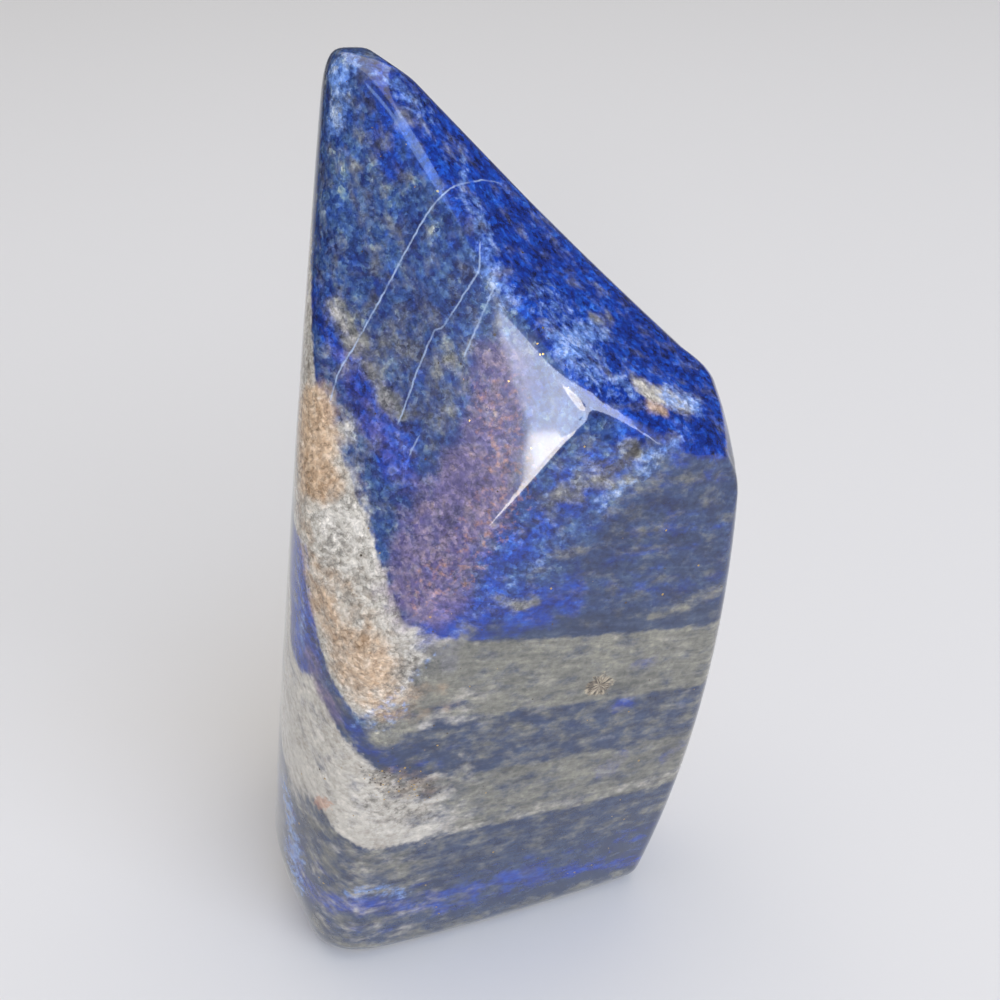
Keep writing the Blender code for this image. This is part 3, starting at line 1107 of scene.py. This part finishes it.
    def draw_spray(self, tree: Tree, colour: Socket, weights: Sockets,
                   fringes: Sockets) -> Socket:
        """Draw a round spray of brown and cream needles.

        Args:
            tree: The material's tree.
            colour: The rock's colour.
            weights: The weight of each mineral, and the offset from the spray's middle.
            fringes: Noises about zero, one for each channel of the maps.

        Returns:
            The colour with the spray.
        """
        across, along = weights["spray", 0], weights["spray", 1]
        offset = add_node(tree, "ShaderNodeCombineXYZ", {0: across, 1: along}).outputs[0]
        radius = add_node(tree, "ShaderNodeVectorMath", {0: offset}, operation="LENGTH")
        way = add_node(tree, "ShaderNodeVectorMath", {0: offset}, operation="NORMALIZE")
        turned = add_node(tree, "ShaderNodeVectorMath", {
            0: way, 1: (self.needles,) * 3}, operation="MULTIPLY")
        depth = add_node(tree, "ShaderNodeMath", {
            0: radius.outputs["Value"], 1: self.needle_waver}, operation="MULTIPLY")
        lift = add_node(tree, "ShaderNodeCombineXYZ", {2: depth})
        place = add_node(tree, "ShaderNodeVectorMath", {0: turned, 1: lift}, operation="ADD")
        rays = add_node(tree, "ShaderNodeTexNoise", {"Vector": place, "Scale": 1.0, "Detail": 2.0})
        needle = add_node(tree, "ShaderNodeValToRGB", {"Fac": rays}, ramp=self.spray)
        ragged = add_node(tree, "ShaderNodeMath", {
            0: fringes["ore", 1], 1: self.spray_radius * self.spray_ragged,
            2: radius.outputs["Value"]},
            operation="MULTIPLY_ADD")
        share = add_node(tree, "ShaderNodeMapRange", {
            "Value": ragged, "From Min": self.spray_radius * self.spray_outer,
            "From Max": self.spray_radius * self.spray_inner, "To Max": self.spray_cover},
            interpolation_type="SMOOTHSTEP")
        return add_node(tree, "ShaderNodeMix", {
            "Factor_Float": share, "A_Color": colour, "B_Color": needle},
            data_type="RGBA").outputs["Result"]

    def draw_ore(self, tree: Tree, colour: Socket,
                 weights: Sockets) -> tuple[Socket, Socket]:
        """Scatter pyrite grains, some of them broken out to a dark hollow.

        Args:
            tree: The material's tree.
            colour: The rock's colour.
            weights: The weight of each mineral.

        Returns:
            The colour with the grains, and where their metal is bare.
        """
        place = add_node(tree, "ShaderNodeTexCoord").outputs["Object"]
        scaled = add_node(tree, "ShaderNodeVectorMath", {
            0: place, 1: (1 / (self.ore_size * MM),) * 3}, operation="MULTIPLY")
        cells = add_node(tree, "ShaderNodeTexVoronoi", {"Vector": scaled, "Scale": 1.0})
        lot = add_node(tree, "ShaderNodeSeparateColor", {0: cells.outputs["Color"]})
        chance = add_node(tree, "ShaderNodeMath", {
            0: weights[Mineral.PYRITE.value], 1: self.ore_share, 2: self.ore_chance},
            operation="MULTIPLY_ADD")
        chosen = add_node(tree, "ShaderNodeMath", {0: lot, 1: chance}, operation="LESS_THAN")
        girth = add_node(tree, "ShaderNodeMapRange", {
            "Value": lot.outputs[1], "To Min": self.ore_least, "To Max": self.ore_most})
        body = add_node(tree, "ShaderNodeMath", {
            0: cells.outputs["Distance"], 1: girth}, operation="LESS_THAN")
        crystal = add_node(tree, "ShaderNodeMath", {0: chosen, 1: body}, operation="MULTIPLY")
        bright = add_node(tree, "ShaderNodeMath", {
            0: lot.outputs[2], 1: self.ore_bare}, operation="GREATER_THAN")
        kind = add_node(tree, "ShaderNodeMix", {
            "Factor_Float": bright, "A_Color": linear(self.broken_colour),
            "B_Color": linear(self.pyrite_colour)}, data_type="RGBA")
        painted = add_node(tree, "ShaderNodeMix", {
            "Factor_Float": crystal, "A_Color": colour,
            "B_Color": kind.outputs["Result"]}, data_type="RGBA")
        bare = add_node(tree, "ShaderNodeMath", {0: crystal, 1: bright}, operation="MULTIPLY")
        return painted.outputs["Result"], bare.outputs[0]

    def build(self) -> bpy.types.Material:
        """Make the material.

        Returns:
            The finished material.
        """
        material = bpy.data.materials.new(self.name)
        material.use_nodes = True
        tree = material.node_tree
        tree.nodes.clear()
        beds = self.rippled_beds(tree)
        weights = self.read_maps(tree)
        fringes = self.fray(tree, beds)
        tone, shade = self.grain(tree, beds, weights[Mineral.BANDED.value])
        colour = self.lay_minerals(tree, tone, weights, fringes)
        colour = add_node(tree, "ShaderNodeVectorMath", {
            0: colour, "Scale": shade}, operation="SCALE").outputs[0]
        colour = self.draw_cracks(tree, colour, weights, fringes)
        colour = self.draw_spray(tree, colour, weights, fringes)
        colour, metal = self.draw_ore(tree, colour, weights)
        shader = add_node(tree, "ShaderNodeBsdfPrincipled", {
            "Base Color": colour, "Metallic": metal, "Roughness": self.roughness,
            "IOR": self.ior, "Specular IOR Level": self.scatter, "Coat Weight": self.polish_weight,
            "Coat Roughness": self.polish_roughness, "Coat IOR": self.ior})
        add_node(tree, "ShaderNodeOutputMaterial", {"Surface": shader})
        return material


@dataclass(frozen=True)
class Relief:
    """The skin's own relief: faint waves left by grinding by hand, and pits at the ore.

    The waves bend the reflections a little, and the pits break them where grains fell out.
    Both only take material away.
    """

    wave_length: float = 16.0
    wave_depth: float = 0.06
    pit_spacing: float = 1.4
    pit_depth: float = 0.07
    pit_rim: float = 0.5
    pit_floor: float = 0.1
    pit_chances: tuple[tuple[str, Place], ...] = (
        ("ore", (0.45, 0.30, 0.10)), ("rock", (0.0, 0.0, 0.06)))
    foot: float = 2.0
    seed: int = 11

    @staticmethod
    def waves(tree: Tree, place: Socket, given: dict[str, Socket]) -> bpy.types.Node:
        """Work out how deep the waves cut.

        Args:
            tree: The relief's tree.
            place: Place on the skin.
            given: The tree's inputs, by name.

        Returns:
            The node that gives the depth.
        """
        scale = add_node(tree, "ShaderNodeMath", {
            0: 1.0, 1: given["Wave Length"]}, operation="DIVIDE")
        wave = add_node(tree, "ShaderNodeTexNoise", {
            "Vector": place, "W": given["Seed"], "Scale": scale, "Detail": 1.0},
            noise_dimensions="4D")
        return add_node(tree, "ShaderNodeMath", {
            0: wave, 1: given["Wave Depth"]}, operation="MULTIPLY")

    def pits(self, tree: Tree, place: Socket, given: dict[str, Socket]) -> bpy.types.Node:
        """Work out where the pits are, more of them where there is more ore.

        Args:
            tree: The relief's tree.
            place: Place on the skin.
            given: The tree's inputs, by name.

        Returns:
            The node that gives the share of a pit's depth.
        """
        scale = add_node(tree, "ShaderNodeMath", {
            0: 1.0, 1: given["Pit Spacing"]}, operation="DIVIDE")
        cells = add_node(tree, "ShaderNodeTexVoronoi", {
            "Vector": place, "W": given["Seed"], "Scale": scale}, voronoi_dimensions="4D")
        bowl = add_node(tree, "ShaderNodeMapRange", {
            "Value": cells.outputs["Distance"], "From Min": self.pit_rim,
            "From Max": self.pit_floor}, interpolation_type="SMOOTHSTEP")
        lot = add_node(tree, "ShaderNodeSeparateXYZ", {0: cells.outputs["Color"]})
        chance = 0.0
        for name, shares in self.pit_chances:
            weight = add_node(tree, "GeometryNodeInputNamedAttribute", {
                "Name": name}, data_type="FLOAT_VECTOR")
            part = add_node(tree, "ShaderNodeVectorMath", {
                0: weight, 1: shares}, operation="DOT_PRODUCT")
            chance = add_node(tree, "ShaderNodeMath", {
                0: part.outputs["Value"], 1: chance}, operation="ADD").outputs[0]
        chosen = add_node(tree, "ShaderNodeMath", {0: lot, 1: chance}, operation="LESS_THAN")
        return add_node(tree, "ShaderNodeMath", {0: bowl, 1: chosen}, operation="MULTIPLY")

    def build_tree(self) -> Tree:
        """Make the node tree that takes the relief off a stone.

        Returns:
            The geometry node tree.
        """
        tree = bpy.data.node_groups.new("natural_skin", "GeometryNodeTree")
        sockets = (("Stone", "Geometry"), ("Wave Length", "Float"), ("Wave Depth", "Float"),
                   ("Pit Spacing", "Float"), ("Pit Depth", "Float"), ("Foot", "Float"),
                   ("Seed", "Int"), ("Finish", "Material"))
        for name, kind in sockets:
            tree.interface.new_socket(name=name, in_out="INPUT", socket_type=f"NodeSocket{kind}")
        tree.interface.new_socket(name="Stone", in_out="OUTPUT", socket_type="NodeSocketGeometry")
        given = {socket.name: socket for socket in add_node(tree, "NodeGroupInput").outputs}
        place = add_node(tree, "GeometryNodeInputPosition").outputs[0]
        cut = add_node(tree, "ShaderNodeMath", {
            0: self.pits(tree, place, given), 1: given["Pit Depth"],
            2: self.waves(tree, place, given)}, operation="MULTIPLY_ADD")
        height = add_node(tree, "ShaderNodeSeparateXYZ", {0: place})
        above_foot = add_node(tree, "ShaderNodeMapRange", {
            "Value": height.outputs[2], "From Max": given["Foot"]}, interpolation_type="SMOOTHSTEP")
        depth = add_node(tree, "ShaderNodeMath", {0: cut, 1: above_foot}, operation="MULTIPLY")
        inward = add_node(tree, "ShaderNodeMath", {0: depth, 1: -1.0}, operation="MULTIPLY")
        normal = add_node(tree, "GeometryNodeInputNormal")
        offset = add_node(tree, "ShaderNodeVectorMath", {
            0: normal, "Scale": inward}, operation="SCALE")
        ground = add_node(tree, "GeometryNodeSetPosition", {
            "Geometry": given["Stone"], "Offset": offset})
        real = add_node(tree, "GeometryNodeRealizeInstances", {"Geometry": ground})
        dressed = add_node(tree, "GeometryNodeSetMaterial", {
            "Geometry": real, "Material": given["Finish"]})
        add_node(tree, "NodeGroupOutput", {"Stone": dressed})
        return tree

    def take_off(self, piece: bpy.types.Object, finish: bpy.types.Material) -> None:
        """Take the relief off a piece, and leave it a plain mesh with its finish.

        Args:
            piece: The piece, with the maps of its minerals.
            finish: The material that it gets.
        """
        tree = self.build_tree()
        values = {"Wave Length": self.wave_length * MM, "Wave Depth": self.wave_depth * MM,
                  "Pit Spacing": self.pit_spacing * MM, "Pit Depth": self.pit_depth * MM,
                  "Foot": self.foot * MM, "Seed": self.seed, "Finish": finish}
        modifier = piece.modifiers.new("relief", "NODES")
        modifier.node_group = tree
        for socket in tree.interface.items_tree:
            if socket.in_out == "INPUT" and socket.name in values:
                modifier[socket.identifier] = values[socket.name]
        graph = bpy.context.evaluated_depsgraph_get()
        ground = bpy.data.meshes.new_from_object(
            piece.evaluated_get(graph), preserve_all_data_layers=True, depsgraph=graph)
        piece.modifiers.remove(modifier)
        piece.data = ground


@dataclass(frozen=True)
class Stone:
    """The stone: its fine skin, the minerals in it, its relief and its polish."""

    view: Viewpoint
    blank: StoneBlank = field(default_factory=StoneBlank)
    relief: Relief = field(default_factory=Relief)
    finish: PolishedLapis = field(default_factory=PolishedLapis)
    sphere_steps: int = 6
    splits: int = 2

    def skin_mesh(self) -> bpy.types.Mesh:
        """Make the skin as a fine mesh of triangles.

        Returns:
            The mesh, in metres.
        """
        mesh = bmesh.new()
        bmesh.ops.create_icosphere(mesh, subdivisions=self.sphere_steps, radius=1.0)
        bmesh.ops.subdivide_edges(mesh, edges=mesh.edges, cuts=self.splits, use_grid_fill=True)
        bmesh.ops.triangulate(mesh, faces=mesh.faces)
        shell = np.array([vertex.co for vertex in mesh.verts]) * np.array(self.blank.spread)
        data = bpy.data.meshes.new("stone_skin")
        mesh.to_mesh(data)
        mesh.free()
        data.vertices.foreach_set("co", (self.blank.skin(shell) * MM).ravel())
        data.update()
        data.shade_smooth()
        return data

    def build(self) -> bpy.types.Object:
        """Build and dress the stone.

        Returns:
            The finished piece.
        """
        data = self.skin_mesh()
        places = np.empty(len(data.vertices) * 3)
        data.vertices.foreach_get("co", places)
        points = places.reshape(-1, 3) / MM
        gradient = self.blank.field(points)[1]
        normals = gradient / np.linalg.norm(gradient, axis=1)[:, None]
        minerals = Mineralogy(self.view, self.blank)
        for name, values in minerals.weigh(points, normals).items():
            layer = data.attributes.new(name, "FLOAT_VECTOR", "POINT")
            layer.data.foreach_set("vector", values.astype(np.float32).ravel())
        piece = add_object("stone_polished", data)
        self.relief.take_off(piece, self.finish.build())
        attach(piece, "root")
        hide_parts("stone")
        return piece


@dataclass(frozen=True)
class SoftBox:
    """A soft light, by the way it lies from the stone and the angles that it fills."""

    name: str
    azimuth: float
    elevation: float
    wide: float
    high: float
    radiance: float
    colour: str


@dataclass(frozen=True)
class Studio:
    """A plain pale floor, soft lights and the camera at the photograph's viewpoint."""

    view: Viewpoint
    target: Place = (0.0, -10.0, 90.0)
    floor_side: float = 6000.0
    floor_drop: float = 0.1
    floor_colour: str = "#e4e1dd"
    floor_roughness: float = 0.7
    air_colour: str = "#bcc4cd"
    air_front: float = 0.4
    air_front_edge: float = -0.8
    air_back: float = 0.22
    air_back_edge: float = 0.6
    light_distance: float = 3000.0
    lights: tuple[SoftBox, ...] = (
        SoftBox("key", -62.2, 28.5, 68.8, 14.0, 8.5, "#e6edff"),
        SoftBox("low key", -89.2, 16.2, 19.0, 9.4, 14.0, "#fff6ea"),
        SoftBox("ridge key", -83.0, 57.5, 26.0, 6.0, 5.6, "#a2c6ff"),
        SoftBox("ridge key, right", -36.0, 59.0, 26.0, 6.0, 5.6, "#a2c6ff"),
        SoftBox("zenith", 90.0, 80.0, 60.0, 50.0, 1.9, "#fff8ee"),
    )

    def build_floor(self) -> bpy.types.Object:
        """Make the floor, just under the stone.

        Returns:
            The floor.
        """
        half = self.floor_side / 2 * MM
        drop = -self.floor_drop * MM
        data = bpy.data.meshes.new("floor")
        sides = ((-half, -half), (half, -half), (half, half), (-half, half))
        data.from_pydata([(x, y, drop) for x, y in sides], [], [(0, 1, 2, 3)])
        material = bpy.data.materials.new("studio_floor")
        material.use_nodes = True
        shader = material.node_tree.nodes["Principled BSDF"]
        shader.inputs["Base Color"].default_value = linear(self.floor_colour)
        shader.inputs["Roughness"].default_value = self.floor_roughness
        data.materials.append(material)
        floor = add_object("floor", data)
        return floor

    def build_lights(self) -> None:
        """Hang the soft boxes round the stone."""
        for box in self.lights:
            lamp = bpy.data.lights.new(box.name, "AREA")
            lamp.shape = "RECTANGLE"
            reach = 2 * self.light_distance * MM
            lamp.size = reach * math.tan(math.radians(box.wide / 2))
            lamp.size_y = reach * math.tan(math.radians(box.high / 2))
            lamp.energy = box.radiance * math.pi * lamp.size * lamp.size_y
            lamp.color = linear(box.colour)[:3]
            holder = add_object(box.name, lamp)
            away = direction(box.azimuth, box.elevation) * self.light_distance
            holder.location = ((np.array(self.target) + away) * MM).tolist()
            holder.rotation_euler = (math.radians(90 - box.elevation), 0.0,
                                     math.radians(90 + box.azimuth))

    def build_air(self) -> None:
        """Fill the air with weak light, a little stronger in front of the stone."""
        world = bpy.data.worlds.new("air")
        world.use_nodes = True
        tree = world.node_tree
        background = tree.nodes["Background"]
        background.inputs["Color"].default_value = linear(self.air_colour)
        way = add_node(tree, "ShaderNodeTexCoord").outputs["Generated"]
        split = add_node(tree, "ShaderNodeSeparateXYZ", {0: way})
        strength = add_node(tree, "ShaderNodeMapRange", {
            "Value": split.outputs[1], "From Min": self.air_front_edge,
            "From Max": self.air_back_edge, "To Min": self.air_front, "To Max": self.air_back},
            interpolation_type="SMOOTHSTEP")
        tree.links.new(strength.outputs[0], background.inputs["Strength"])
        bpy.context.scene.world = world

    def build_camera(self) -> bpy.types.Object:
        """Set up the camera at the photograph's viewpoint.

        Returns:
            The camera.
        """
        data = bpy.data.cameras.new("camera")
        data.sensor_width = self.view.sensor
        data.lens = self.view.sensor / 2 / math.tan(math.radians(self.view.field_of_view / 2))
        camera = add_object("camera", data)
        camera.location = [v * MM for v in self.view.place]
        camera.rotation_euler = (math.radians(90 - self.view.pitch), 0.0, 0.0)
        bpy.context.scene.camera = camera
        return camera

    def build(self) -> None:
        """Build the whole studio."""
        self.build_floor()
        self.build_lights()
        self.build_air()
        self.build_camera()
        bpy.context.scene.view_settings.view_transform = "Standard"


def main() -> None:
    """Build the stone and the studio round it."""
    logging.basicConfig(level=logging.INFO, format="%(message)s")
    view = Viewpoint()
    stone = Stone(view).build()
    LOG.info("%s: %d triangles", stone.name, len(stone.data.polygons))
    Studio(view).build()
    LOG.info("studio: floor, lights and camera")


if __name__ == "__main__":
    main()
